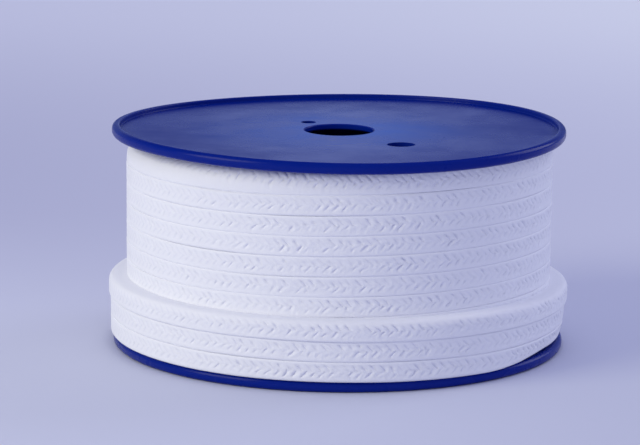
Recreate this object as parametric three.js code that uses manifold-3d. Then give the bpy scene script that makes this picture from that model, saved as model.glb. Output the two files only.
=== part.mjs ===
// Reel of braided gland packing: one long square braided cord, wound in layers on a moulded
// plastic reel that stands on its lower flange.
// Lengths are in millimetres and angles in degrees. +Z is the reel's axis and points up, +X is to
// the right and -Y to the front. The origin is the centre of the circle that the reel stands on.
import * as THREE from 'three';
import { mergeVertices } from 'three/addons/utils/BufferGeometryUtils.js';
import Module from 'manifold-3d';

// The reel as a whole
const REEL_HEIGHT = 115;
const FLANGE_RADIUS = 118;
const BARREL_RADIUS = 69;
const BARREL_WALL = 3;
const LAP_DEPTH = 6;

// Flange: a thin plate, set in below the crest of the bead that runs round its rim. The bead
// stands a little proud of the plate's inner face too.
const PLATE_THICKNESS = 3;
const PLATE_RECESS = 2.5;
const RIM_LIP = 0.5;
const RIM_WIDTH = 4.1;
const RIM_OUTER_FILLET = 2.3;
const RIM_INNER_FILLET = 0.8;

// Holes through each plate: the spindle's bore, and a drive hole and a small start hole that lie
// on one line across the axis
const BORE_RADIUS = 18;
const DRIVE_HOLE_RADIUS = 7.2;
const DRIVE_HOLE_OFFSET = 54;
const START_HOLE_RADIUS = 4;
const START_HOLE_OFFSET = 28;
const HOLE_LINE_ANGLE = -54.5;

// The cord, nominally 10 mm square and pressed a little flat by the winding
const CORD_PITCH = 10.1;
const LAYER_THICKNESS = 8.4;
const CORD_CORNER = 1.2;
const TURN_OVERLAP = 0.1;

// The winding: full layers, and a last layer of a few turns that starts at the lower flange
const FULL_LAYERS = 5;
const OUTER_TURNS = 3;
const TOP_SLACK = 1.9;
const OUTER_SAG = 1.3;
const LAY_SHARE = 0.25;
const CROSSOVER_SHARE = 1 / 6;
const START_ANGLE = 60;

// The uppermost turn lies rolled about its own axis on its left side, and a little sunk in
const ROLL_ANGLE = 36;
const ROLL_SINK = 2;
const ROLL_FROM = 0.44;
const ROLL_TO = 0.78;
const ROLL_EASE = 0.06;

// Clearance between the reel's two halves, and between the reel and the cord
const SEAT_GAP = 0.3;

// Fineness of the round faces
const REEL_STEPS = 60;
const HOLE_STEPS = 16;
const CORD_STEPS = 48;
const FILLET_STEPS = 2;

// Sizes that follow from those above
const PLATE_INNER = PLATE_RECESS + PLATE_THICKNESS;
const RIM_HEIGHT = PLATE_INNER + RIM_LIP;
const RIM_INNER_RADIUS = FLANGE_RADIUS - RIM_WIDTH;
const TOP_EDGE = REEL_HEIGHT - PLATE_INNER - TOP_SLACK;
const BOTTOM_EDGE = PLATE_INNER - OUTER_SAG;
const LAYER_TURNS = Math.floor((TOP_EDGE - BOTTOM_EDGE) / CORD_PITCH);
const TOTAL_TURNS = LAYER_TURNS + OUTER_TURNS;
const CORD_DEPTH = LAYER_THICKNESS + CORD_CORNER;

const plasticMaterial = new THREE.MeshStandardMaterial({ color: 0x14309a, roughness: 0.25, metalness: 0 });
const packingMaterial = new THREE.MeshStandardMaterial({ color: 0xe4e5ec, roughness: 0.7, metalness: 0 });

const wasm = await Module();
wasm.setup();

// Makes a solid from a closed geometry.
function toSolid(geometry) {
  geometry.deleteAttribute('normal');
  geometry.deleteAttribute('uv');
  const merged = mergeVertices(geometry);
  const mesh = new wasm.Mesh({
    numProp: 3,
    vertProperties: new Float32Array(merged.attributes.position.array),
    triVerts: new Uint32Array(merged.index.array),
  });
  mesh.merge();
  return new wasm.Manifold(mesh);
}

// Makes a geometry from a solid.
function toGeometry(solid) {
  const mesh = solid.getMesh();
  const geometry = new THREE.BufferGeometry();
  geometry.setAttribute('position', new THREE.BufferAttribute(mesh.vertProperties, 3));
  geometry.setIndex(new THREE.BufferAttribute(mesh.triVerts, 1));
  geometry.computeVertexNormals();
  return geometry;
}

// Turns a closed outline of (radius, height) points round the Z axis.
function revolve(outline) {
  const geometry = new THREE.LatheGeometry([...outline, outline[0]], REEL_STEPS);
  geometry.rotateX(Math.PI / 2);
  return toSolid(geometry);
}

// Points of a quarter-round edge about a centre, from one angle to another.
function fillet(radius, height, size, fromAngle, toAngle) {
  const arc = new THREE.EllipseCurve(
    radius, height, size, size,
    THREE.MathUtils.degToRad(fromAngle), THREE.MathUtils.degToRad(toAngle), toAngle < fromAngle,
  );
  return arc.getPoints(FILLET_STEPS);
}

// Outline of the bead at the rim, from its inner foot on the outer face of the plate, over the
// crest, round the outside and back to the inner face. Growing it gives the room that it needs.
function rimOutline(grow) {
  const inner = RIM_INNER_RADIUS - grow;
  const outer = FLANGE_RADIUS + grow;
  const bottom = -grow;
  const top = RIM_HEIGHT + grow;
  const small = RIM_INNER_FILLET + grow;
  const large = RIM_OUTER_FILLET + grow;
  return [
    ...fillet(inner + small, bottom + small, small, 180, 270),
    ...fillet(outer - large, bottom + large, large, 270, 360),
    ...fillet(outer - large, top - large, large, 0, 90),
    new THREE.Vector2(inner, top),
  ];
}

// Outline of the barrel's open end, from the outside to the inside. Half of the wall runs on as
// a tongue, and the other half's tongue laps it.
function barrelEnd(tongueInside) {
  const middle = REEL_HEIGHT / 2;
  const shoulder = middle - (LAP_DEPTH + SEAT_GAP) / 2;
  const tip = middle + (LAP_DEPTH - SEAT_GAP) / 2;
  const outer = BARREL_RADIUS;
  const inner = BARREL_RADIUS - BARREL_WALL;
  const step = (outer + inner) / 2 + (tongueInside ? -SEAT_GAP : SEAT_GAP) / 2;
  const outerEnd = tongueInside ? shoulder : tip;
  const innerEnd = tongueInside ? tip : shoulder;
  return [
    new THREE.Vector2(outer, outerEnd),
    new THREE.Vector2(step, outerEnd),
    new THREE.Vector2(step, innerEnd),
    new THREE.Vector2(inner, innerEnd),
  ];
}

// A round hole straight through the plate, at a distance along the line of holes.
function plateHole(radius, offset) {
  const geometry = new THREE.CylinderGeometry(radius, radius, 4 * PLATE_INNER, HOLE_STEPS);
  const angle = THREE.MathUtils.degToRad(HOLE_LINE_ANGLE);
  geometry.rotateX(Math.PI / 2);
  geometry.translate(offset * Math.cos(angle), offset * Math.sin(angle), 0);
  return toSolid(geometry);
}

// One half of the reel, standing on the crest of its rim: flange, bead and half of the barrel.
function reelHalf(tongueInside) {
  const outline = [
    new THREE.Vector2(BORE_RADIUS, PLATE_RECESS),
    new THREE.Vector2(RIM_INNER_RADIUS, PLATE_RECESS),
    ...rimOutline(0),
    new THREE.Vector2(RIM_INNER_RADIUS, PLATE_INNER),
    new THREE.Vector2(BARREL_RADIUS, PLATE_INNER),
    ...barrelEnd(tongueInside),
    new THREE.Vector2(BARREL_RADIUS - BARREL_WALL, PLATE_INNER),
    new THREE.Vector2(BORE_RADIUS, PLATE_INNER),
  ];
  return revolve(outline)
    .subtract(plateHole(DRIVE_HOLE_RADIUS, DRIVE_HOLE_OFFSET))
    .subtract(plateHole(START_HOLE_RADIUS, -START_HOLE_OFFSET));
}

// Room that the lower flange needs inside the winding, with the clearance all round it.
function flangeRoom() {
  const top = PLATE_INNER + SEAT_GAP;
  const outline = [
    new THREE.Vector2(BARREL_RADIUS / 2, -RIM_HEIGHT),
    new THREE.Vector2(RIM_INNER_RADIUS, -RIM_HEIGHT),
    ...rimOutline(SEAT_GAP),
    new THREE.Vector2(RIM_INNER_RADIUS - SEAT_GAP, top),
    new THREE.Vector2(BARREL_RADIUS / 2, top),
  ];
  return revolve(outline);
}

// Share of one pitch that the cord has moved along the axis after a share of one turn: a little
// all the way round, and the rest where it crosses over to the next turn.
function advance(share) {
  const crossing = THREE.MathUtils.smoothstep(share, 1 - CROSSOVER_SHARE, 1);
  return LAY_SHARE * Math.min(share / (1 - CROSSOVER_SHARE), 1) + (1 - LAY_SHARE) * crossing;
}

// Pitches that the cord has moved along the axis after a number of turns.
function travel(turns) {
  const whole = Math.floor(turns);
  return whole + advance(turns - whole);
}

// Middle of the cord's outer face after a number of turns: its radius and height. The cord comes
// up from the layer below beside the upper flange, winds down, climbs at the lower flange and
// winds up again.
function cordPlace(turns) {
  const layerRadius = BARREL_RADIUS + FULL_LAYERS * LAYER_THICKNESS;
  const rise = THREE.MathUtils.smoothstep(turns, -CROSSOVER_SHARE, 0) - 1;
  const climb = THREE.MathUtils.smoothstep(turns, LAYER_TURNS - CROSSOVER_SHARE, LAYER_TURNS);
  const down = TOP_EDGE - CORD_PITCH * (0.5 + travel(Math.max(turns, 0)));
  const up = BOTTOM_EDGE + CORD_PITCH * (0.5 + travel(Math.max(turns - LAYER_TURNS, 0)));
  return {
    radius: layerRadius + LAYER_THICKNESS * (rise + climb),
    height: THREE.MathUtils.lerp(down, up, climb),
  };
}

// How far the cord is rolled over after a number of turns, from none to full.
function rollShare(turns) {
  const on = THREE.MathUtils.smoothstep(turns, ROLL_FROM, ROLL_FROM + ROLL_EASE);
  const off = THREE.MathUtils.smoothstep(turns, ROLL_TO, ROLL_TO + ROLL_EASE);
  return on - off;
}

// Section of the cord: outward and upward distances from the middle of its outer face.
function cordSection() {
  const half = (CORD_PITCH + TURN_OVERLAP) / 2;
  const flat = half - CORD_CORNER;
  return [
    [-CORD_DEPTH, -half], [-CORD_CORNER, -half], [0, -flat],
    [0, flat], [-CORD_CORNER, half], [-CORD_DEPTH, half],
  ];
}

// The section's points in space after a number of turns, rolled about the middle of the cord.
function cordRing(section, turns) {
  const { radius, height } = cordPlace(turns);
  const rolled = rollShare(turns);
  const roll = THREE.MathUtils.degToRad(ROLL_ANGLE) * rolled;
  const angle = THREE.MathUtils.degToRad(START_ANGLE) - 2 * Math.PI * turns;
  const middle = LAYER_THICKNESS / 2;
  return section.map(([out, up]) => {
    const outward = (out + middle) * Math.cos(roll) - up * Math.sin(roll) - middle;
    const upward = (out + middle) * Math.sin(roll) + up * Math.cos(roll);
    const reach = radius + outward - ROLL_SINK * rolled;
    return [reach * Math.cos(angle), reach * Math.sin(angle), height + upward];
  });
}

// A stretch of the cord as a closed solid.
function cordStretch(fromStep, toStep) {
  const section = cordSection();
  const sides = section.length;
  const positions = [];
  const faces = [];
  for (let step = fromStep; step <= toStep; step += 1) {
    positions.push(...cordRing(section, step / CORD_STEPS).flat());
  }
  const rings = toStep - fromStep;
  for (let ring = 0; ring < rings; ring += 1) {
    for (let side = 0; side < sides; side += 1) {
      const here = ring * sides + side;
      const beside = ring * sides + (side + 1) % sides;
      faces.push(here, beside, here + sides, beside, beside + sides, here + sides);
    }
  }
  for (let side = 1; side < sides - 1; side += 1) {
    faces.push(0, side + 1, side);
    faces.push(rings * sides, rings * sides + side, rings * sides + side + 1);
  }
  const geometry = new THREE.BufferGeometry();
  geometry.setAttribute('position', new THREE.Float32BufferAttribute(positions, 3));
  geometry.setIndex(faces);
  return toSolid(geometry);
}

// The layers under the last full one, as one plain ring round the barrel.
function innerLayers() {
  const inner = BARREL_RADIUS + SEAT_GAP;
  const outer = BARREL_RADIUS + (FULL_LAYERS - 0.5) * LAYER_THICKNESS;
  const bottom = PLATE_INNER + SEAT_GAP;
  const top = TOP_EDGE - LAY_SHARE * CORD_PITCH;
  return revolve([
    new THREE.Vector2(inner, bottom),
    new THREE.Vector2(outer, bottom),
    new THREE.Vector2(outer, top),
    new THREE.Vector2(inner, top),
  ]);
}

// The whole winding as one solid: the inner layers, the cord over them in half turns, and the
// room that the two flanges take.
function winding() {
  const halfTurn = CORD_STEPS / 2;
  const firstStep = -Math.round(CORD_STEPS * CROSSOVER_SHARE);
  const lastStep = Math.round(CORD_STEPS * (TOTAL_TURNS - CROSSOVER_SHARE));
  let solid = innerLayers().add(cordStretch(firstStep, 1));
  for (let step = 0; step < lastStep; step += halfTurn) {
    solid = solid.add(cordStretch(step, Math.min(step + halfTurn + 1, lastStep)));
  }
  const lowerRoom = flangeRoom();
  const upperRoom = lowerRoom.rotate([180, 0, 0]).translate([0, 0, REEL_HEIGHT]);
  return solid.subtract(lowerRoom).subtract(upperRoom);
}

function makeMesh(name, solid, material) {
  const mesh = new THREE.Mesh(toGeometry(solid), material);
  mesh.name = name;
  return mesh;
}

// The two halves are lapped at mid-height, with their holes in line.
function makeReel() {
  const reel = new THREE.Group();
  const lower = makeMesh('lower_reel_half', reelHalf(true), plasticMaterial);
  const upper = makeMesh('upper_reel_half', reelHalf(false), plasticMaterial);
  const lineAngle = THREE.MathUtils.degToRad(HOLE_LINE_ANGLE);
  const holeLine = new THREE.Vector3(Math.cos(lineAngle), Math.sin(lineAngle), 0);
  upper.setRotationFromAxisAngle(holeLine, Math.PI);
  upper.position.z = REEL_HEIGHT;
  reel.add(lower, upper);
  return reel;
}

const packingReel = new THREE.Group();
packingReel.add(makeReel(), makeMesh('packing_winding', winding(), packingMaterial));

export default packingReel;
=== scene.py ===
# %% [markdown]
# A reel of braided gland packing: a square white cord wound in layers on a glossy blue moulded
# reel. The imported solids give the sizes. Here the plastic is turned again with fine round
# edges, and the cord gets its real braid, stitch by stitch, before it is wound on.

import math

import bpy
from mathutils import Matrix, Vector, noise


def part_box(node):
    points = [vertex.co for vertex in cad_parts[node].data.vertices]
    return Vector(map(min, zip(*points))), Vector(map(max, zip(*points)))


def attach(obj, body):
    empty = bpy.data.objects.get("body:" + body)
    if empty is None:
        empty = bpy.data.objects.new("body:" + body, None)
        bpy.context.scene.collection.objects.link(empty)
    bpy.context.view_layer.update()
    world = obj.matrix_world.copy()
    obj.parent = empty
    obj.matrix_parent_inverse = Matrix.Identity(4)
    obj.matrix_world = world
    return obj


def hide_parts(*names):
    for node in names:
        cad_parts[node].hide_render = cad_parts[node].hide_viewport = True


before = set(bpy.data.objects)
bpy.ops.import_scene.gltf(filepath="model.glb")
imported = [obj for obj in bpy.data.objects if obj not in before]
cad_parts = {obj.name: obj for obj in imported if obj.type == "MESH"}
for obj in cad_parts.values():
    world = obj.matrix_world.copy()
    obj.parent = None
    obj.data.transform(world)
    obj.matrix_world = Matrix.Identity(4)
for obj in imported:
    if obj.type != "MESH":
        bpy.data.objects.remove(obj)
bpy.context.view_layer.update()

# %% [markdown]
# Everything is in metres, so millimetres are written with a factor. The outer sizes are read
# from the frame, and the finer ones are those of the mouldings and of the cord.

# %% Sizes
MM = 0.001
FLANGE_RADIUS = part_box("lower_reel_half")[1].x
REEL_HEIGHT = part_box("upper_reel_half")[1].z
OUTER_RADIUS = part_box("packing_winding")[1].x
LAYER_THICKNESS = 8.4 * MM
FULL_RADIUS = OUTER_RADIUS - LAYER_THICKNESS
PLATE_RECESS = 2.5 * MM
PLATE_INNER = 5.5 * MM
RIM_HEIGHT = 5.6 * MM
RIM_WIDTH = 4.1 * MM
BARREL_RADIUS = 69 * MM
BARREL_WALL = 3 * MM
SEAT_GAP = 0.3 * MM
print("flange", round(FLANGE_RADIUS, 4), "height", round(REEL_HEIGHT, 4))
print("cord out to", round(OUTER_RADIUS, 4))

# %% [markdown]
# The camera stands well back with a long lens, a little above the reel, and leans very
# slightly, as the photographer's did. The small shift puts the reel right of the middle.

# %% Camera
CAMERA_DISTANCE = 11.5 * FLANGE_RADIUS
CAMERA_ELEVATION = math.radians(10.56)
CAMERA_LEAN = math.radians(0.69)
FOCAL_LENGTH = 145.4
SENSOR_WIDTH = 36
FRAME_SHIFT = (-0.0295, 0.0103)
target = Vector((0, 0, 0.5 * FLANGE_RADIUS))
back = Vector((0, -math.cos(CAMERA_ELEVATION), math.sin(CAMERA_ELEVATION)))
bpy.ops.object.camera_add(location=target + back * CAMERA_DISTANCE)
camera = bpy.context.object
camera.rotation_mode = "QUATERNION"
lean = Matrix.Rotation(CAMERA_LEAN, 3, "Z").to_quaternion()
camera.rotation_quaternion = (-back).to_track_quat("-Z", "Y") @ lean
camera.data.lens = FOCAL_LENGTH
camera.data.sensor_width = SENSOR_WIDTH
camera.data.shift_x, camera.data.shift_y = FRAME_SHIFT
bpy.context.scene.camera = camera
print("camera at", [round(v, 3) for v in camera.location])

# %% [markdown]
# Colours are written as on a colour chart, in sRGB hex, and turned to the linear values that
# the shader works in. One helper adds a node with its settings and its links.

# %% Colour and node helpers
def linear(hex_colour):
    """Turns an sRGB hex colour into a linear RGBA one."""
    values = [int(hex_colour[i:i + 2], 16) / 255 for i in (1, 3, 5)]
    return [v / 12.92 if v <= 0.04045 else ((v + 0.055) / 1.055) ** 2.4 for v in values] + [1.0]


def add_node(tree, kind, settings=None, links=None, **values):
    """Adds a node with its settings, its input values and what is linked to its inputs."""
    node = tree.nodes.new(kind)
    for name, value in (settings or {}).items():
        setattr(node, name, value)
    for name, value in values.items():
        node.inputs[name.replace("_", " ")].default_value = value
    for name, source in (links or {}).items():
        tree.links.new(source, node.inputs[name])
    return node


def new_material(name):
    """Makes an empty material, and returns it with its tree and its output node."""
    material = bpy.data.materials.new(name)
    material.use_nodes = True
    tree = material.node_tree
    tree.nodes.clear()
    return material, tree, tree.nodes.new("ShaderNodeOutputMaterial")


print("half of full brightness is", round(linear("#808080")[0], 3), "in linear light")


# %% [markdown]
# The reel is injection-moulded high-impact polystyrene, coloured right through with a strong
# ultramarine. A polished mould gives it gloss. Its flat faces are painted a paler blue in soft
# patches a few centimetres wide that are strongest round the hub: partly a faint chalky haze
# left by handling, partly a painted reflection of the pale room. There the surface is a little
# duller. At a low angle the plate mirrors the pale room.

# %% Moulded blue plastic
PATCH_SIZE = 45 * MM
GRAIN_SIZE = 1.1 * MM
# How far from the axis the haze and the painted reflection reach.
HAZE_AND_REFLECTION_REACH = 95 * MM


def make_blue_plastic():
    material, tree, output = new_material("moulded_blue_polystyrene")
    place = add_node(tree, "ShaderNodeTexCoord").outputs["Object"]
    cloud = add_node(
        tree, "ShaderNodeTexNoise", links={"Vector": place},
        Scale=1 / PATCH_SIZE, Detail=4.0, Roughness=0.62,
    )
    grain = add_node(
        tree, "ShaderNodeTexNoise", links={"Vector": place}, Scale=1 / GRAIN_SIZE, Detail=2.0,
    )
    flat = add_node(tree, "ShaderNodeVectorMath", {"operation": "MULTIPLY"}, {0: place})
    flat.inputs[1].default_value = (1, 1, 0)
    reach = add_node(
        tree, "ShaderNodeVectorMath", {"operation": "LENGTH"}, {0: flat.outputs["Vector"]},
    )
    hub = add_node(
        tree, "ShaderNodeMapRange", {"interpolation_type": "SMOOTHSTEP"},
        {"Value": reach.outputs["Value"]},
        From_Min=0.0, From_Max=HAZE_AND_REFLECTION_REACH, To_Min=1.0, To_Max=0.0,
    )
    patch = add_node(
        tree, "ShaderNodeMapRange", links={"Value": cloud.outputs["Fac"]},
        From_Min=0.38, From_Max=0.66, To_Min=0.3, To_Max=1.0,
    )
    normal = add_node(tree, "ShaderNodeNewGeometry").outputs["Normal"]
    upright = add_node(tree, "ShaderNodeSeparateXYZ", links={"Vector": normal}).outputs["Z"]
    steep = add_node(tree, "ShaderNodeMath", {"operation": "ABSOLUTE"}, {0: upright})
    face = add_node(
        tree, "ShaderNodeMapRange", links={"Value": steep.outputs["Value"]},
        From_Min=0.8, From_Max=0.95, To_Min=0.0, To_Max=1.0,
    )
    # Patches round the hub on the flat faces: partly real haze, partly a painted reflection.
    dust_and_reflection = add_node(
        tree, "ShaderNodeMath", {"operation": "MULTIPLY"},
        {0: hub.outputs["Result"], 1: patch.outputs["Result"]},
    )
    haze_and_reflection = add_node(
        tree, "ShaderNodeMath", {"operation": "MULTIPLY"},
        {0: dust_and_reflection.outputs["Value"], 1: face.outputs["Result"]},
    )
    # The paler blue mixed in here is partly a chalky haze and partly a painted reflection of the
    # pale room.
    tint = add_node(
        tree, "ShaderNodeMix", {"data_type": "RGBA"}, {"Factor": haze_and_reflection.outputs["Value"]},
    )
    tint.inputs[6].default_value = linear("#021F84")
    tint.inputs[7].default_value = linear("#305FBE")
    rough = add_node(
        tree, "ShaderNodeMapRange", links={"Value": cloud.outputs["Fac"]},
        From_Min=0.3, From_Max=0.7, To_Min=0.2, To_Max=0.34,
    )
    bump = add_node(
        tree, "ShaderNodeBump", links={"Height": grain.outputs["Fac"]},
        Strength=0.05, Distance=0.02 * MM,
    )
    shader = add_node(
        tree, "ShaderNodeBsdfPrincipled",
        links={
            "Base Color": tint.outputs[2],
            "Roughness": rough.outputs["Result"],
            "Normal": bump.outputs["Normal"],
        },
        IOR=1.59, Specular_IOR_Level=0.09,
    )
    tree.links.new(shader.outputs["BSDF"], output.inputs["Surface"])
    return material


blue_plastic = make_blue_plastic()
print("material", blue_plastic.name)

# %% [markdown]
# The packing is braided from expanded fluoropolymer yarn: matt, very white, a little waxy, so
# that light goes a short way into it. The grooves between the stitches get a cool, slightly
# darker colour: painted shade, for the shade that gathers in them. The mesh carries their depth
# as an attribute, and fine fibre streaks come from its own UV map, which runs in millimetres
# along and round the cord.

# %% Braided white yarn
FIBRE_SPACING = 0.55
FIBRE_SHORTNESS = 0.45


def make_white_yarn():
    material, tree, output = new_material("braided_fluoropolymer_yarn")
    uv = add_node(tree, "ShaderNodeUVMap", {"uv_map": "cord_mm"}).outputs["UV"]
    depth = add_node(tree, "ShaderNodeAttribute", {"attribute_name": "stitch_height"})
    stretch = add_node(
        tree, "ShaderNodeMapping", links={"Vector": uv},
        Scale=(FIBRE_SHORTNESS / FIBRE_SPACING, 1 / FIBRE_SPACING, 1),
    )
    fibres = add_node(
        tree, "ShaderNodeTexNoise", links={"Vector": stretch.outputs["Vector"]},
        Scale=1.0, Detail=3.0,
    )
    # Painted shade: where stitch_height is low, in the grooves, the yarn takes the darker cool
    # colour.
    tint = add_node(
        tree, "ShaderNodeMix", {"data_type": "RGBA"}, {"Factor": depth.outputs["Fac"]},
    )
    tint.inputs[6].default_value = linear("#E9EAF3")
    tint.inputs[7].default_value = linear("#F1F2F8")
    bump = add_node(
        tree, "ShaderNodeBump", links={"Height": fibres.outputs["Fac"]},
        Strength=0.45, Distance=0.16 * MM,
    )
    shader = add_node(
        tree, "ShaderNodeBsdfPrincipled",
        links={"Base Color": tint.outputs[2], "Normal": bump.outputs["Normal"]},
        Roughness=0.62, IOR=1.38,
    )
    tree.links.new(shader.outputs["BSDF"], output.inputs["Surface"])
    return material


white_yarn = make_white_yarn()
print("material", white_yarn.name)

# %% [markdown]
# Each half of the reel is a turned shape with three holes. Its outline is drawn as a ring of
# edges, spun round the axis in fine steps, closed, and cut with the holes by a boolean.

# %% Helpers for pieces
JOIN_REACH = 0.001 * MM


def deselect_all():
    bpy.ops.object.select_all(action="DESELECT")


def select_only(piece):
    """Makes a piece the only selected object, and the active one."""
    deselect_all()
    bpy.context.view_layer.objects.active = piece
    piece.select_set(True)


def finish_piece(piece, material, node):
    """Gives a piece its material and body, and hides the node it stands for."""
    piece.data.materials.clear()
    piece.data.materials.append(material)
    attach(piece, "root")
    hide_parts(node)
    triangles = sum(len(p.vertices) - 2 for p in piece.data.polygons)
    print("piece", piece.name, triangles, "triangles")


def apply_modifier(piece, kind, **settings):
    """Adds a modifier with its settings and applies it."""
    select_only(piece)
    modifier = piece.modifiers.new(kind.lower(), kind)
    for name, value in settings.items():
        setattr(modifier, name, value)
    bpy.ops.object.modifier_apply(modifier=modifier.name)


def ring_of_outline(name, outline, steps):
    """Spins a closed outline of (radius, height) points round the Z axis."""
    deselect_all()
    bpy.ops.mesh.primitive_circle_add(vertices=len(outline), radius=1, location=(0, 0, 0))
    piece = bpy.context.object
    piece.name = name
    for vertex, (radius, height) in zip(piece.data.vertices, outline):
        vertex.co = (radius, 0, height)
    bpy.ops.object.mode_set(mode="EDIT")
    bpy.ops.mesh.select_all(action="SELECT")
    bpy.ops.mesh.spin(steps=steps, angle=2 * math.pi, center=(0, 0, 0), axis=(0, 0, 1))
    bpy.ops.mesh.select_all(action="SELECT")
    bpy.ops.mesh.remove_doubles(threshold=JOIN_REACH)
    bpy.ops.mesh.normals_make_consistent(inside=False)
    bpy.ops.object.mode_set(mode="OBJECT")
    return piece


print("outlines are joined within", JOIN_REACH / MM, "mm")

# %% [markdown]
# The bead round the rim is the part that catches the light. It is rounded wide on its outside
# and tightly on its inside, and stands a little above the plate on both faces.

# %% Outline of a reel half
REEL_STEPS = 240
FILLET_STEPS = 6
RIM_OUTER_FILLET = 2.3 * MM
RIM_INNER_FILLET = 0.8 * MM
FOOT_FILLET = 0.6 * MM
BORE_RADIUS = 18 * MM
RING_SPACING = 8 * MM


def fillet(radius, height, size, from_degrees, to_degrees):
    """Points of a rounded edge about a centre."""
    angles = [
        math.radians(from_degrees + (to_degrees - from_degrees) * i / FILLET_STEPS)
        for i in range(FILLET_STEPS + 1)
    ]
    return [(radius + size * math.cos(a), height + size * math.sin(a)) for a in angles]


def rings(from_radius, to_radius, height):
    """Points between two radii, close enough together for a plate to be warped smoothly."""
    steps = math.ceil(abs(to_radius - from_radius) / RING_SPACING)
    return [(from_radius + (to_radius - from_radius) * i / steps, height) for i in range(steps)]


def half_outline(barrel_end):
    """Outline of a reel half that stands on its rim, with its barrel up to a height."""
    inner = FLANGE_RADIUS - RIM_WIDTH
    outer = FLANGE_RADIUS
    small, large, foot = RIM_INNER_FILLET, RIM_OUTER_FILLET, FOOT_FILLET
    return [
        (BORE_RADIUS, PLATE_RECESS + foot),
        *rings(BORE_RADIUS + foot, inner - foot, PLATE_RECESS),
        *fillet(inner - foot, PLATE_RECESS - foot, foot, 90, 0),
        *fillet(inner + small, small, small, 180, 270),
        *fillet(outer - large, large, large, 270, 360),
        *fillet(outer - large, RIM_HEIGHT - large, large, 0, 90),
        (inner + foot, RIM_HEIGHT),
        *rings(inner, BARREL_RADIUS, PLATE_INNER),
        (BARREL_RADIUS, PLATE_INNER),
        (BARREL_RADIUS, barrel_end),
        (BARREL_RADIUS - BARREL_WALL, barrel_end),
        *rings(BARREL_RADIUS - BARREL_WALL, BORE_RADIUS + foot, PLATE_INNER),
        (BORE_RADIUS + foot, PLATE_INNER),
        (BORE_RADIUS, PLATE_INNER - foot),
    ]


print("outline points", len(half_outline(REEL_HEIGHT / 2)))

# %% [markdown]
# The drive hole and the small start hole lie on one line across the axis. A cylinder with a
# cone at its mouth would chamfer them, but a plain cylinder is enough here, because moulded
# holes of this kind have nearly sharp edges. A full reel pushes its thin flanges about. So the
# upper one is warped by one or two millimetres, low at the front and slightly saddle-shaped,
# and it lies half a millimetre to the left. The barrel below it stays as it was moulded.

# %% The two halves
HOLE_LINE = math.radians(-54.5)
HOLES = ((7.2 * MM, 54 * MM), (4 * MM, -28 * MM))
HOLE_STEPS = 64
DRILL_LENGTH = 4 * PLATE_INNER
REEL_CREASE = math.radians(35)
WARP_DEPTH = 4 * PLATE_INNER
HUB_SINK = 0.8 * MM
FLANGE_TIP = 0.9 * MM
TIP_REACH = 40 * MM
RIM_SAG = 0.45 * MM
RIM_LEAN = 0.49 * MM
LEAN_ANGLE = math.radians(45)
RIM_SADDLE = 0.97 * MM
SADDLE_ANGLE = math.radians(47.5)
FLANGE_SHIFT = 0.5 * MM


def cut_hole(piece, radius, offset):
    """Cuts a round hole through the plate, at a distance along the line of holes."""
    deselect_all()
    place = (offset * math.cos(HOLE_LINE), offset * math.sin(HOLE_LINE), PLATE_RECESS)
    bpy.ops.mesh.primitive_cylinder_add(
        vertices=HOLE_STEPS, radius=radius, depth=DRILL_LENGTH, location=place,
    )
    drill = bpy.context.object
    apply_modifier(piece, "BOOLEAN", operation="DIFFERENCE", solver="EXACT", object=drill)
    bpy.data.objects.remove(drill)


def smoothstep(value, low, high):
    """Rises smoothly from 0 to 1 between two values."""
    share = min(max((value - low) / (high - low), 0.0), 1.0)
    return share * share * (3 - 2 * share)


def flange_warp(radius, angle):
    """How far the upper flange stands above its true plane, at a radius and an angle."""
    hub = HUB_SINK * (smoothstep(radius, BARREL_RADIUS, FLANGE_RADIUS - RIM_WIDTH) - 1)
    tip = FLANGE_TIP * math.sin(angle) * min(radius / TIP_REACH, 1.0)
    bend = smoothstep(radius, BARREL_RADIUS, FLANGE_RADIUS)
    lean = RIM_LEAN * math.cos(angle - LEAN_ANGLE)
    saddle = RIM_SADDLE * math.cos(2 * angle - SADDLE_ANGLE)
    return hub + tip + bend * (lean + saddle - RIM_SAG)


def warp_upper_flange(piece):
    """Warps and shifts the plate and the bead, and leaves the barrel below them as it is."""
    for vertex in piece.data.vertices:
        x, y, z = vertex.co
        share = smoothstep(z, REEL_HEIGHT - WARP_DEPTH, REEL_HEIGHT - RIM_HEIGHT)
        vertex.co.x = x - share * FLANGE_SHIFT
        vertex.co.z = z + share * flange_warp(math.hypot(x, y), math.atan2(y, x))


def make_reel_half(name, node, turned_over):
    """Makes one half, and turns it over about the line of holes for the upper flange."""
    piece = ring_of_outline(name, half_outline((REEL_HEIGHT - SEAT_GAP) / 2), REEL_STEPS)
    for radius, offset in HOLES:
        cut_hole(piece, radius, offset)
    if turned_over:
        line = Vector((math.cos(HOLE_LINE), math.sin(HOLE_LINE), 0))
        turn = Matrix.Rotation(math.pi, 4, line)
        piece.data.transform(Matrix.Translation((0, 0, REEL_HEIGHT)) @ turn)
        warp_upper_flange(piece)
    select_only(piece)
    bpy.ops.object.shade_smooth_by_angle(angle=REEL_CREASE)
    finish_piece(piece, blue_plastic, node)


make_reel_half("lower_flange_and_barrel", "lower_reel_half", False)
make_reel_half("upper_flange_and_barrel", "upper_reel_half", True)

# %% [markdown]
# The cord is first made straight. Its face shows one row of chevrons: yarns slant in from both
# edges and lock along the middle, half a stitch apart. One stitch is a grid whose columns
# follow the slant, so that each groove runs along an edge of the mesh and stays crisp. The
# grid goes all round the square section, and closes on itself.

# %% Section of the cord
CORD_PITCH = 10.1 * MM
CORD_HALF = (CORD_PITCH + 0.1 * MM) / 2
CORD_CORNER = 0.9 * MM
CORD_DEPTH = LAYER_THICKNESS + 1.2 * MM
CORNER_STEPS = 3
FACE_STEPS = 14
SIDE_SHARES = (1, 0.65, 0.33)
BRAID_HALF = 3.4 * MM
BRAID_RISE = 0.5 * MM


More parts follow.
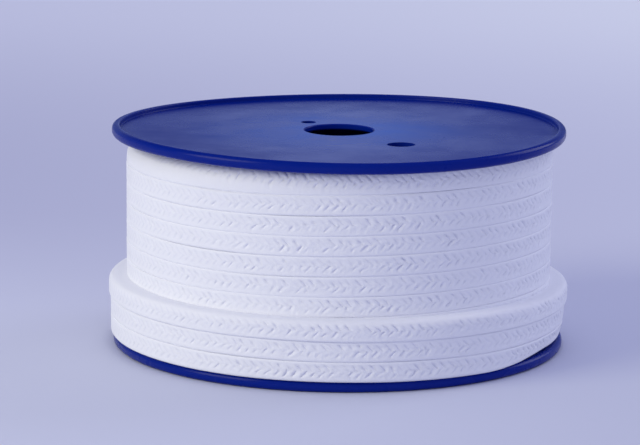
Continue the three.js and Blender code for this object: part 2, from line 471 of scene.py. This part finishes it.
def section_points():
    """Outward and upward places round the section: lower side, outer face, upper side, back."""
    flat = CORD_HALF - CORD_CORNER
    corner = [math.radians(90 * i / CORNER_STEPS) for i in range(CORNER_STEPS + 1)]
    lower = [
        (-CORD_CORNER + CORD_CORNER * math.sin(a), -flat - CORD_CORNER * math.cos(a))
        for a in corner
    ]
    face = [(0.0, -flat + 2 * flat * i / FACE_STEPS) for i in range(1, FACE_STEPS)]
    upper = [(out, -up) for out, up in reversed(lower)]
    sides = [(-CORD_DEPTH * share, -CORD_HALF) for share in SIDE_SHARES]
    other = [(out, -up) for out, up in reversed(sides)]
    return [*sides, *lower, *face, *upper, *other, sides[0]]


SECTION = section_points()
print("section points", len(SECTION))

# %% [markdown]
# A stitch is a rounded lobe that rises slowly and drops quickly into the groove before the
# next one. It is highest half-way along its arm, and it dives under the smooth yarn of the
# edges at its outer end.

# %% One stitch
STITCH_LENGTH = 4.5 * MM
STITCH_COLUMNS = 8
STITCH_RELIEF = 0.42 * MM
ARM_SLANT = 0.95
LOBE = (0.0, 0.5, 0.74, 0.9, 0.98, 1.0, 0.93, 0.7)
ARM_ENDS, ARM_MIDDLE = 0.72, 0.28
DIVE_SHARE = 0.22


def arm_reach(aside):
    """How high the stitches stand, by the distance from the middle of the braid."""
    share = abs(aside) / BRAID_HALF
    if share > 1:
        return 0.0
    arm = ARM_ENDS + ARM_MIDDLE * math.sin(math.pi * share)
    return arm * min(1.0, (1 - share) / DIVE_SHARE)


def make_stitch():
    """Makes one stitch length of straight cord along X, with its face towards +Z."""
    rows = len(SECTION) - 1
    deselect_all()
    bpy.ops.mesh.primitive_grid_add(x_subdivisions=STITCH_COLUMNS, y_subdivisions=rows, size=1)
    piece = bpy.context.object
    mesh = piece.data
    heights = mesh.attributes.new("stitch_height", "FLOAT", "POINT")
    around = [0.0]
    for here, there in zip(SECTION, SECTION[1:]):
        around.append(around[-1] + math.dist(here, there))
    runs = {}
    for vertex in mesh.vertices:
        column = round((vertex.co.x + 0.5) * STITCH_COLUMNS)
        row = round((vertex.co.y + 0.5) * rows)
        out, up = SECTION[row]
        on_face = out > -CORD_CORNER / 2
        aside = up - BRAID_RISE
        slant = ARM_SLANT * min(abs(aside), BRAID_HALF)
        lobe = LOBE[(-column + (STITCH_COLUMNS // 2 if aside < 0 else 0)) % STITCH_COLUMNS]
        reach = arm_reach(aside) if on_face else 0.0
        # The height is low in the grooves, where the yarn material paints shade.
        heights.data[vertex.index].value = 1 - reach * (1 - lobe)
        along = column / STITCH_COLUMNS * STITCH_LENGTH + slant
        vertex.co = (along, up, out - STITCH_RELIEF * reach * (1 - lobe))
        runs[vertex.index] = (along / MM, around[row] / MM)
    layer = mesh.uv_layers.active
    layer.name = "cord_mm"
    for loop in mesh.loops:
        layer.data[loop.index].uv = runs[loop.vertex_index]
    return piece


sample_stitch = make_stitch()
print("stitch", len(sample_stitch.data.polygons), "faces")
bpy.data.objects.remove(sample_stitch)

# %% [markdown]
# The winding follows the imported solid. From a start behind the right side the cord runs
# clockwise round the reel, moves a quarter of its pitch along the axis as it goes, and makes
# the rest of the step where it crosses over at the back. A slow wave and a small drift keep
# the seams between the turns from being quite parallel, as in every real winding.

# %% Path of the cord
START_ANGLE = math.radians(60)
LAYER_TURNS = 10
OUTER_TURNS = 3
LAY_SHARE = 0.25
CROSSOVER_SHARE = 1 / 6
TOP_EDGE = REEL_HEIGHT - PLATE_INNER - 1.9 * MM
BOTTOM_EDGE = PLATE_INNER - 1.3 * MM
LAY_WAVE = 0.8 * MM
WAVE_ANGLE = math.radians(160)
LAY_DRIFT = 0.12 * MM
DRIFT_MIDDLE = 2.5


def travel(turns):
    """Pitches that the cord has moved along the axis."""
    whole = math.floor(turns)
    share = turns - whole
    lay = min(share / (1 - CROSSOVER_SHARE), 1.0)
    return whole + LAY_SHARE * lay + (1 - LAY_SHARE) * smoothstep(share, 1 - CROSSOVER_SHARE, 1)


def cord_place(turns):
    """Radius and height of the middle of the cord's outer face."""
    rise = smoothstep(turns, -CROSSOVER_SHARE, 0) - 1
    climb = smoothstep(turns, LAYER_TURNS - CROSSOVER_SHARE, LAYER_TURNS)
    wave = LAY_WAVE * math.sin(2 * (START_ANGLE - 2 * math.pi * turns) + WAVE_ANGLE)
    drift = LAY_DRIFT * (turns - DRIFT_MIDDLE)
    down = TOP_EDGE - CORD_PITCH * (0.5 + travel(max(turns, 0))) + wave + drift
    up = BOTTOM_EDGE + CORD_PITCH * (0.5 + travel(max(turns - LAYER_TURNS, 0)))
    return FULL_RADIUS + LAYER_THICKNESS * (rise + climb), down + (up - down) * climb


print("first turn at", [round(v, 4) for v in cord_place(0.4)])

# %% [markdown]
# The section is soft. It keeps its flat face against the tension of the winding, but its skin
# can turn round it, and its edges can be rounder. So a point of the section is first unfolded
# to its way round the outline and its depth under the surface, then moved, and folded again.
# The first turn is turned this way on the left, where its braid goes up under the flange and
# its plain side comes to the front. It also swells into the room that is left there. The
# upper edge of the last turn and the lower one of the turn over the rim are free and round.

# %% Turning the skin of the cord round its section
TURN_LENGTH = 4.8 * MM
TURN_ON, TURN_OFF = (0.32, 0.64), (0.72, 0.86)
TURNED_ROUND = 4 * MM
TURN_LEAN = 7 * MM
SWELL_ON, SWELL_OFF = (-0.12, 0.03), (0.72, 1 - CROSSOVER_SHARE)
SWELL_LIMIT = 3.2 * MM
LAST_TURN = LAYER_TURNS + OUTER_TURNS - 1 - CROSSOVER_SHARE
LAST_RAMP = 0.1
UPPER_ROUND = 2.8 * MM
LOWER_ROUND = 1.4 * MM
FLAT_HALF = CORD_HALF - CORD_CORNER
SKIN_END = FLAT_HALF + CORD_CORNER * math.pi / 2 + CORD_DEPTH - CORD_CORNER


def unfold(out, up):
    """The way round the outline from the middle of the face, and the depth under the surface."""
    if abs(up) <= FLAT_HALF:
        return up, -out
    bend = math.asin(min((abs(up) - FLAT_HALF) / CORD_CORNER, 1.0)) * CORD_CORNER
    return math.copysign(FLAT_HALF + bend + max(-CORD_CORNER - out, 0.0), up), 0.0


def fold(place, depth, size):
    """The point of the section at a way round its outline, for a corner of a size."""
    beyond = abs(place) - (CORD_HALF - size)
    if beyond <= 0:
        return -depth, place
    angle = min(beyond / size, math.pi / 2)
    deeper = max(beyond - size * math.pi / 2, 0.0)
    out = (size - depth) * math.cos(angle) - size - deeper
    return out, math.copysign(CORD_HALF - size + (size - depth) * math.sin(angle), place)


def turned_share(turns):
    """How far the skin is turned round, from none to full."""
    return smoothstep(turns, *TURN_ON) - smoothstep(turns, *TURN_OFF)


def last_share(turns):
    """How far a place is part of the last turn, from none to full."""
    return smoothstep(turns, LAST_TURN, LAST_TURN + LAST_RAMP)


def shape_section(turns, place, depth):
    """Turns the skin where it is turned, and folds it with the roundings of that turn."""
    turned = turned_share(turns)
    room = (SKIN_END - place) / (SKIN_END - CORD_HALF)
    if place < 0:
        room = (place + FLAT_HALF) / (FLAT_HALF - BRAID_HALF + BRAID_RISE)
    place += turned * TURN_LENGTH * min(max(room, 0.0), 1.0)
    if place > 0:
        rounding = CORD_CORNER + TURNED_ROUND * turned + UPPER_ROUND * last_share(turns)
        out, up = fold(place, depth, rounding)
    else:
        over_rim = LAYER_TURNS - CROSSOVER_SHARE < turns < LAYER_TURNS + 1 - CROSSOVER_SHARE
        out, up = fold(place, depth, LOWER_ROUND if over_rim else CORD_CORNER)
    return out - TURN_LEAN * turned * ((up + CORD_HALF) / (2 * CORD_HALF)) ** 3, up


print("the last turn starts at", round(LAST_TURN, 3))

# %% [markdown]
# On the right, where the outer layer has just begun, its lowest turn still stands on the rim.
# It is squeezed there, and the layer leans in towards its foot.

# %% The start of the outer layer
SETTLE_FROM, SETTLE_TO = 0.235, 0.31
SQUEEZE = 2.6 * MM
LAST_BULGE = 0.8 * MM
HEAD_BULGE = 0.2 * MM
FOOT_LEAN = 3.2 * MM


def start_share(turns):
    """How much a place is part of the layer's beginning on the right, from none to full."""
    share = turns - math.floor(turns)
    return 1 - smoothstep(share, SETTLE_FROM, SETTLE_TO) + smoothstep(share, 1 - CROSSOVER_SHARE, 1)


def lean_outer_layer(turns, reach, level):
    """Leans the outer layer in at its foot on the right, and squeezes its lowest turn."""
    share = start_share(turns)
    reach += LAST_BULGE * last_share(turns)
    top = BOTTOM_EDGE + (OUTER_TURNS + LAY_SHARE) * CORD_PITCH
    down = (top - level) / (top - BOTTOM_EDGE)
    reach += share * (HEAD_BULGE - FOOT_LEAN * down * abs(down))
    if turns < LAYER_TURNS + 1 - CROSSOVER_SHARE:
        low = (cord_place(turns)[1] + CORD_HALF - level) / (2 * CORD_HALF)
        level += share * SQUEEZE * low
    return reach, level


print("squeezed by", round(SQUEEZE / MM, 2), "mm")

# %% [markdown]
# Nothing wound by a machine is quite even. Slow noises let each turn stand a fraction of a
# millimetre in or out and up or down, and tilt it by a degree or two, so that some seams are
# deeper than others. Quicker ones shift the stitches along the cord, press some of them flat,
# and leave the yarn a little rough. The braid is looser at the front right, and pulled flatter
# on the left and behind. Where the cord meets a flange it takes the flange's form. All noises
# are plain functions of the place, so each run winds the same cord.

# %% Winding a straight cord on
UNEVEN = 0.22 * MM
TILT = math.radians(3.2)
STITCH_SHIFT = 1.1 * MM
YARN_ROUGH = 0.2 * MM
LOOSE_SIDE = math.radians(-45)
LOOSE_MEAN, LOOSE_CHANGE = 0.75, 0.6
DEPTH_MEAN, DEPTH_SLOW, DEPTH_QUICK = 0.65, 0.9, 2.4
SLOW_GRAIN = (16 * MM, 9 * MM)
QUICK_GRAIN = (3.1 * MM, 2.3 * MM)
ROUGH_GRAIN = (1.2 * MM, 0.9 * MM)
SMOOTH_EDGE = 0.8 * MM
NOISE_RADIUS, NOISE_CLIMB, NOISE_GAP = 2, 1.7, 40
SHIFT_CHANGES, SHIFT_WIDTH = 75, 4 * MM
RIM_CLEAR = (FLANGE_RADIUS - RIM_WIDTH - SEAT_GAP, FLANGE_RADIUS + SEAT_GAP)


def flange_limit(radius):
    """How far a flange reaches from its crest towards the cord, at a radius."""
    if radius > RIM_CLEAR[1]:
        return 0.0
    return (RIM_HEIGHT if radius > RIM_CLEAR[0] else PLATE_INNER) + SEAT_GAP


def ceiling_at(reach, angle):
    """Height of the upper flange's inner side."""
    return REEL_HEIGHT - flange_limit(reach) + flange_warp(reach, angle)


def skin_noise(along, place, turns, grain):
    """A noise on the skin of the cord, whose grain has a length and a width."""
    return noise.noise(Vector((along / grain[0], place / grain[1], turns)))


def press_stitches(along, place, depth, turns):
    """Presses the grooves flatter in some places and deeper in others, and roughens the yarn."""
    if abs(place) > FLAT_HALF:
        return depth
    slow = skin_noise(along, place, turns, SLOW_GRAIN)
    quick = skin_noise(along, place, turns, QUICK_GRAIN)
    rough = skin_noise(along, place, turns, ROUGH_GRAIN)
    share = min(1.0, abs(FLAT_HALF - abs(place)) / SMOOTH_EDGE)
    side = math.cos(START_ANGLE - 2 * math.pi * turns - LOOSE_SIDE)
    loose = LOOSE_MEAN + LOOSE_CHANGE * side
    groove = depth * max(0.0, DEPTH_MEAN + DEPTH_SLOW * slow + DEPTH_QUICK * quick)
    return loose * (groove + YARN_ROUGH * rough * share)


def swell(turns, up, height, reach, angle):
    """Lets the first turn swell up into the room under the flange."""
    if turns > 1 - CROSSOVER_SHARE:
        return up
    room = ceiling_at(reach, angle) - (height + CORD_HALF)
    share = smoothstep(turns, *SWELL_ON) - smoothstep(turns, *SWELL_OFF)
    return up + share * min(max(room, 0.0), SWELL_LIMIT) * (up + CORD_HALF) / (2 * CORD_HALF)


def wind_on(piece, from_turns, to_turns, length):
    """Wraps a straight cord of a length round the reel, from one count of turns to another."""
    middle = LAYER_THICKNESS / 2
    for vertex in piece.data.vertices:
        along, up, out = vertex.co
        turns = from_turns + (to_turns - from_turns) * along / length
        radius, height = cord_place(turns)
        angle = START_ANGLE - 2 * math.pi * turns
        across, deep = math.cos(angle) * NOISE_RADIUS, math.sin(angle) * NOISE_RADIUS
        around = Vector((across, deep, turns * NOISE_CLIMB))
        aside, aloft, askew = (
            noise.noise(around + Vector((0, 0, NOISE_GAP * i))) for i in range(3)
        )
        shift = noise.noise(Vector((turns * SHIFT_CHANGES, up / SHIFT_WIDTH, 0)))
        place, depth = unfold(out, up)
        depth = press_stitches(along, place, depth, turns)
        out, up = shape_section(turns, place, depth)
        up = swell(turns, up, height, radius, angle)
        roll = TILT * askew
        outward = (out + middle) * math.cos(roll) - up * math.sin(roll) - middle
        upward = (out + middle) * math.sin(roll) + up * math.cos(roll)
        reach = radius + outward + UNEVEN * aside
        level = height + upward + UNEVEN * aloft
        if turns > LAYER_TURNS - CROSSOVER_SHARE:
            reach, level = lean_outer_layer(turns, reach, level)
        level = min(max(level, flange_limit(reach)), ceiling_at(reach, angle))
        angle += STITCH_SHIFT * shift / reach
        vertex.co = (reach * math.cos(angle), reach * math.sin(angle), level)


STITCH_JOIN = 0.01 * MM
CORD_CREASE = math.radians(60)


def make_cord(name, from_turns, to_turns, radius):
    """Repeats the stitch to a straight cord, cuts both ends square and winds it on.

    The cord runs clockwise, which mirrors it, so its faces are turned round again at the end.
    """
    stitches = round((to_turns - from_turns) * 2 * math.pi * radius / STITCH_LENGTH)
    length = stitches * STITCH_LENGTH
    piece = make_stitch()
    piece.name = name
    apply_modifier(
        piece, "ARRAY", count=stitches + 2, use_merge_vertices=True, merge_threshold=STITCH_JOIN,
        use_relative_offset=False, use_constant_offset=True,
        constant_offset_displace=(STITCH_LENGTH, 0, 0),
    )
    bpy.ops.object.mode_set(mode="EDIT")
    bpy.ops.mesh.select_all(action="SELECT")
    bpy.ops.mesh.remove_doubles(threshold=STITCH_JOIN)
    bpy.ops.transform.translate(value=(-STITCH_LENGTH, 0, 0))
    for end, sign in ((0.0, -1), (length, 1)):
        bpy.ops.mesh.select_all(action="SELECT")
        bpy.ops.mesh.bisect(
            plane_co=(end, 0, 0), plane_no=(sign, 0, 0), use_fill=True, clear_outer=True,
        )
    bpy.ops.mesh.select_all(action="SELECT")
    bpy.ops.mesh.normals_make_consistent(inside=False)
    bpy.ops.object.mode_set(mode="OBJECT")
    wind_on(piece, from_turns, to_turns, length)
    bpy.ops.object.mode_set(mode="EDIT")
    bpy.ops.mesh.select_all(action="SELECT")
    bpy.ops.mesh.flip_normals()
    bpy.ops.object.mode_set(mode="OBJECT")
    select_only(piece)
    bpy.ops.object.shade_smooth_by_angle(angle=CORD_CREASE)
    return piece


print("skin grains in mm", [round(v / MM, 1) for v in SLOW_GRAIN + QUICK_GRAIN + ROUGH_GRAIN])


# %% [markdown]
# The cord is one length, made here in six stretches that meet end to end behind the reel, so
# that no mesh grows too heavy. The turns under the outer layer don't show and are left out.

# %% The visible turns
OUTER_START = LAYER_TURNS - CROSSOVER_SHARE
STRETCHES = (
    ("packing_turns_top", -CROSSOVER_SHARE, 2.0, FULL_RADIUS),
    ("packing_turns_upper", 2.0, 4.0, FULL_RADIUS),
    ("packing_turns_middle", 4.0, 6.0, FULL_RADIUS),
    ("packing_turns_low", 6.0, 8.2, FULL_RADIUS),
    ("packing_outer_low", OUTER_START, OUTER_START + OUTER_TURNS / 2, OUTER_RADIUS),
    ("packing_outer_high", OUTER_START + OUTER_TURNS / 2, OUTER_START + OUTER_TURNS, OUTER_RADIUS),
)
for name, first, last, radius in STRETCHES:
    stretch = make_cord(name, first, last, radius)
    finish_piece(stretch, white_yarn, "packing_winding")

# %% [markdown]
# Behind the visible turns lie the older layers. They are one plain ring of the same yarn,
# which closes the view between the turns and the barrel.

# %% Inner layers
inside, outside = BARREL_RADIUS + SEAT_GAP, FULL_RADIUS - LAYER_THICKNESS / 2
bottom, top = PLATE_INNER + SEAT_GAP, TOP_EDGE - LAY_SHARE * CORD_PITCH
inner_outline = [(inside, bottom), (outside, bottom), (outside, top), (inside, top)]
inner_layers = ring_of_outline("packing_inner_layers", inner_outline, REEL_STEPS)
# With stitch_height at zero the ring takes the darker groove colour, the painted shade of the
# grooves, all over.
inner_layers.data.attributes.new("stitch_height", "FLOAT", "POINT")
finish_piece(inner_layers, white_yarn, "packing_winding")

# %% [markdown]
# The reel stands on pale lavender paper that runs out of the picture on all sides. Light and
# shade are painted softly into its colour: light at the near left, darker at the near right,
# and lightest far away on the right. The world lights the scene with the cool light of a pale
# room. Seen directly it is the floor's colour. A reflection sees a wall low down, brighter in its
# middle, and a dark ceiling above it, as in a studio whose lamps stand to the side.

# %% Floor and world
FLOOR_SIZE = 12.0
PAPER_WIDTH = (-0.6, 0.7)
PAPER_MIDDLE = (-0.15, 0.4)
PAPER_FAR = (0.45, 1.9)
WALL_TOP = (0.2, 0.6)
WALL_LIGHT = (0.0, 0.1)


def shade_between(tree, value, reach, left, right):
    """Blends two colours, or two blends, smoothly over a reach of a value."""
    share = add_node(
        tree, "ShaderNodeMapRange", {"interpolation_type": "SMOOTHSTEP"}, {"Value": value},
        From_Min=reach[0], From_Max=reach[1], To_Min=0.0, To_Max=1.0,
    )
    blend = add_node(
        tree, "ShaderNodeMix", {"data_type": "RGBA"}, {"Factor": share.outputs["Result"]},
    )
    for socket, colour in ((blend.inputs[6], left), (blend.inputs[7], right)):
        if isinstance(colour, str):
            socket.default_value = linear(colour)
        else:
            tree.links.new(colour, socket)
    return blend.outputs[2]


def make_floor_paper():
    material, tree, output = new_material("lavender_paper")
    place = add_node(tree, "ShaderNodeTexCoord").outputs["Object"]
    axes = add_node(tree, "ShaderNodeSeparateXYZ", links={"Vector": place}).outputs
    # Painted light and shade: the paper's colour changes by place, standing in for how the light
    # falls on it.
    near = shade_between(tree, axes["X"], PAPER_WIDTH, "#E3E6F5", "#BABDD5")
    middle = shade_between(tree, axes["X"], PAPER_WIDTH, "#BCBED8", "#D7D9EB")
    far = shade_between(tree, axes["X"], PAPER_WIDTH, "#DDDFEF", "#EFF2F7")
    front = shade_between(tree, axes["Y"], PAPER_MIDDLE, near, middle)
    paper_with_painted_light = shade_between(tree, axes["Y"], PAPER_FAR, front, far)
    shader = add_node(
        tree, "ShaderNodeBsdfPrincipled", links={"Base Color": paper_with_painted_light}, Roughness=0.9,
    )
    tree.links.new(shader.outputs["BSDF"], output.inputs["Surface"])
    return material


deselect_all()
bpy.ops.mesh.primitive_plane_add(size=FLOOR_SIZE, location=(0, 0, 0))
floor = bpy.context.object
floor.name = "floor"
floor.data.materials.append(make_floor_paper())

world = bpy.data.worlds.new("soft_room")
bpy.context.scene.world = world
world.use_nodes = True
room = world.node_tree
room.nodes.clear()
rays = add_node(room, "ShaderNodeLightPath")
direction = add_node(room, "ShaderNodeTexCoord").outputs["Generated"]
axes = add_node(room, "ShaderNodeSeparateXYZ", links={"Vector": direction}).outputs
aside = add_node(room, "ShaderNodeMath", {"operation": "ABSOLUTE"}, {0: axes["X"]})
wall = shade_between(room, aside.outputs["Value"], WALL_LIGHT, "#A8B8EA", "#7683B0")
studio = shade_between(room, axes["Z"], WALL_TOP, wall, "#0B0F22")
ambient = add_node(room, "ShaderNodeBackground", Color=linear("#BCBFDD"), Strength=1.0)
mirrored = add_node(room, "ShaderNodeBackground", links={"Color": studio}, Strength=1.0)
backdrop = add_node(room, "ShaderNodeBackground", Color=linear("#B9BDE0"), Strength=1.0)
lit = add_node(
    room, "ShaderNodeMixShader", links={
        "Fac": rays.outputs["Is Glossy Ray"],
        1: ambient.outputs["Background"],
        2: mirrored.outputs["Background"],
    },
)
seen = add_node(
    room, "ShaderNodeMath", {"operation": "MAXIMUM"},
    {0: rays.outputs["Is Camera Ray"], 1: rays.outputs["Is Transmission Ray"]},
)
mixed = add_node(
    room, "ShaderNodeMixShader", links={
        "Fac": seen.outputs["Value"],
        1: lit.outputs["Shader"],
        2: backdrop.outputs["Background"],
    },
)
add_node(room, "ShaderNodeOutputWorld", links={"Surface": mixed.outputs["Shader"]})
print("floor", FLOOR_SIZE, "m")

# %% [markdown]
# A large soft lamp stands far out on the left, a little in front of the reel and above it. It
# lights the left side fully and grazes the front, and the right side keeps the cool light of
# the room. It is slightly warm, as daylight is beside a blue sky. A weaker one behind on the
# right stands for the pale wall there, and brightens the right edge.

# %% Lamps
def add_lamp(name, place, size, power, colour):
    """Adds a square soft lamp that points at the reel."""
    bpy.ops.object.light_add(type="AREA", location=place)
    lamp = bpy.context.object
    lamp.name = name
    lamp.data.shape = "SQUARE"
    lamp.data.size = size
    lamp.data.energy = power
    lamp.data.color = linear(colour)[:3]
    lamp.visible_camera = False
    aim = target - Vector(place)
    lamp.rotation_mode = "QUATERNION"
    lamp.rotation_quaternion = aim.to_track_quat("-Z", "Y")


add_lamp("key_lamp", (-3.7, -1.97, 1.9), 2.4, 89, "#FFFCD7")
add_lamp("wall_lamp", (3.2, 2.0, 2.0), 2.2, 34, "#EFF1FF")

# %% [markdown]
# The colours are shown as they are, without a film look.

# %% Finish
bpy.context.scene.view_settings.view_transform = "Standard"
